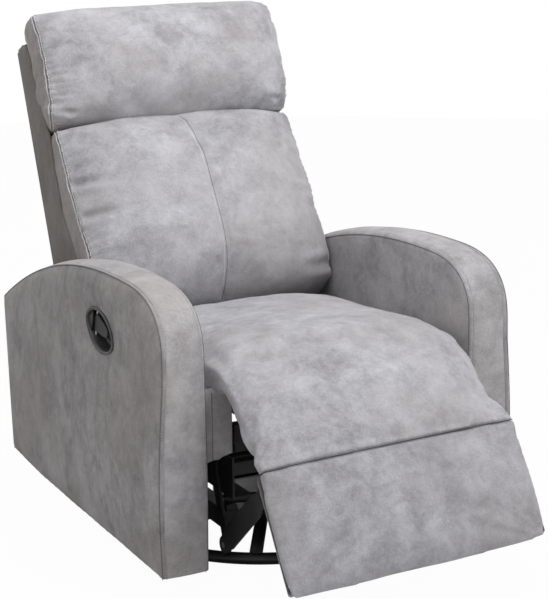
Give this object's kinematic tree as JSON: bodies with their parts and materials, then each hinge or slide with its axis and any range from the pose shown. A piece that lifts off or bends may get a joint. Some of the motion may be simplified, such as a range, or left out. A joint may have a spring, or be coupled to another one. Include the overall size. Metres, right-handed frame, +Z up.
{
  "type": "swivel rocker recliner",
  "caption": "Padded recliner with track arms and a pull-handle footrest that rolls out of the seat; it rocks, turns on a round floor ring, and its back reclines.",
  "frame": {"origin": "swivel axis on the floor, at the middle of the chair's footprint in the stored pose", "axes": "+X across the chair towards the arm without a handle, the sitter faces -Y, +Z up"},
  "size_m": [0.7838, 1.3254, 1.0226],
  "materials": {
    "upholstery": "brushed suede-like microfibre, clouded",
    "upholstery_edge": "brushed suede-like microfibre, clouded",
    "black_steel": "black powder coat",
    "grey_steel": "dark grey powder coat",
    "plated_steel": "zinc plated",
    "spring_steel": "oiled spring wire",
    "timber": "raw plywood",
    "base_board": "stained black",
    "handle_plastic": "satin black moulding",
    "glide_plastic": "black nylon",
    "cable_sheath": "ribbed black sheath",
    "webbing": "woven elastic webbing"
  },
  "bodies": {
    "base": {"floor_ring": "black_steel", "floor_glides": "glide_plastic", "spider_bars": "black_steel", "hub_plate": "black_steel", "lower_race": "plated_steel", "bearing_balls": "plated_steel", "swivel_bolt": "plated_steel"},
    "turntable": {"upper_race": "plated_steel", "turntable_plate": "black_steel", "turntable_beams": "black_steel", "rocker_tracks": "black_steel", "front_bow_tube": "black_steel", "rear_cross_tube": "black_steel", "rocker_springs": "spring_steel"},
    "chassis": {"rocker_cams": "black_steel", "chassis_plates": "black_steel", "chassis_crossbars": "black_steel", "spring_bars": "black_steel", "arm_brackets": "black_steel", "arm_bolts": "plated_steel", "guide_studs": "plated_steel", "release_pins": "plated_steel", "release_cable": "cable_sheath", "handle_bezel": "handle_plastic", "left_arm_frame": "timber", "left_arm_outer_panel": "upholstery", "left_arm_inner_panel": "upholstery", "left_arm_band": "upholstery", "right_arm_frame": "timber", "right_arm_outer_panel": "upholstery", "right_arm_inner_panel": "upholstery", "right_arm_band": "upholstery", "arm_base_boards": "base_board"},
    "release_lever_body": {"release_lever": "handle_plastic"},
    "release_pawl_body": {"release_pawl": "black_steel"},
    "seat": {"side_rails": "upholstery_edge", "seat_cross_rails": "base_board", "rail_spacers": "timber", "seat_plates": "black_steel", "seat_springs": "spring_steel", "seat_pins": "plated_steel", "recline_plates": "black_steel", "seat_cushion": "upholstery"},
    "back": {"back_shell": "upholstery", "back_side_rails": "timber", "back_cross_rails": "timber", "back_straps": "webbing", "back_brackets": "black_steel", "lumbar_cushion": "upholstery", "head_pillow": "upholstery"},
    "lift_link_pair": {"lift_links": "black_steel", "link_tie_tube": "black_steel", "low_pivot_pins": "plated_steel"},
    "carry_link_pair": {"carry_links": "grey_steel", "bracket_pins": "plated_steel"},
    "footrest": {"footrest_board": "upholstery_edge", "footrest_pad": "upholstery", "footrest_brackets": "black_steel", "leg_pad": "upholstery"}
  },
  "joints": [
    {"name": "swivel", "type": "hinge", "parent": "base", "child": "turntable", "pos_m": [0, 0, 0], "axis": [0, 0, 1], "continuous": true},
    {"name": "rock", "type": "hinge", "parent": "turntable", "child": "chassis", "pos_m": [0, 0, 0.2594], "axis": [1, 0, 0], "range_deg": [-4.5, 3.5], "stiffness_Nm_per_rad": 1400, "deforming": ["rocker_springs"]},
    {"name": "back_recline", "type": "hinge", "parent": "seat", "child": "back", "pos_m": [0, 0.30334, 0.33], "axis": [-1, 0, 0], "range_deg": [0, 30]},
    {"name": "seat_glide", "type": "slide", "parent": "chassis", "child": "seat", "axis": [0, -1, 0], "range_m": [0, 0.05]},
    {"name": "footrest_open", "type": "hinge", "parent": "seat", "child": "footrest", "pos_m": [0, -0.4185, 0.451], "axis": [-1, 0, 0], "range_deg": [-33, 52], "deforming": ["leg_pad"]},
    {"name": "lift_link_turn", "type": "hinge", "parent": "seat", "child": "lift_link_pair", "pos_m": [0, -0.2345, 0.288], "axis": [-1, 0, 0], "range_deg": [-33.5, 52.5]},
    {"name": "carry_link_turn", "type": "hinge", "parent": "lift_link_pair", "child": "carry_link_pair", "pos_m": [0, -0.2805, 0.057], "axis": [-1, 0, 0], "range_deg": [-52.5, 33.5]},
    {"name": "handle_pull", "type": "hinge", "parent": "chassis", "child": "release_lever_body", "pos_m": [-0.37406, -0.015, 0.46281], "axis": [-0.0219, 0.2079, -0.9779], "range_deg": [0, 25], "stiffness_Nm_per_rad": 0.6, "springref_deg": -5.73},
    {"name": "pawl_release", "type": "hinge", "parent": "chassis", "child": "release_pawl_body", "pos_m": [-0.206, -0.15, 0.193], "axis": [1, 0, 0], "range_deg": [0, 16]}
  ],
  "couplings": [
    {"joint": "seat_glide", "follows": "back_recline", "m_per_rad": 0.0954},
    {"joint": "lift_link_turn", "follows": "footrest_open", "ratio": 1},
    {"joint": "carry_link_turn", "follows": "footrest_open", "ratio": -1},
    {"joint": "pawl_release", "follows": "handle_pull", "ratio": 0.6}
  ]
}
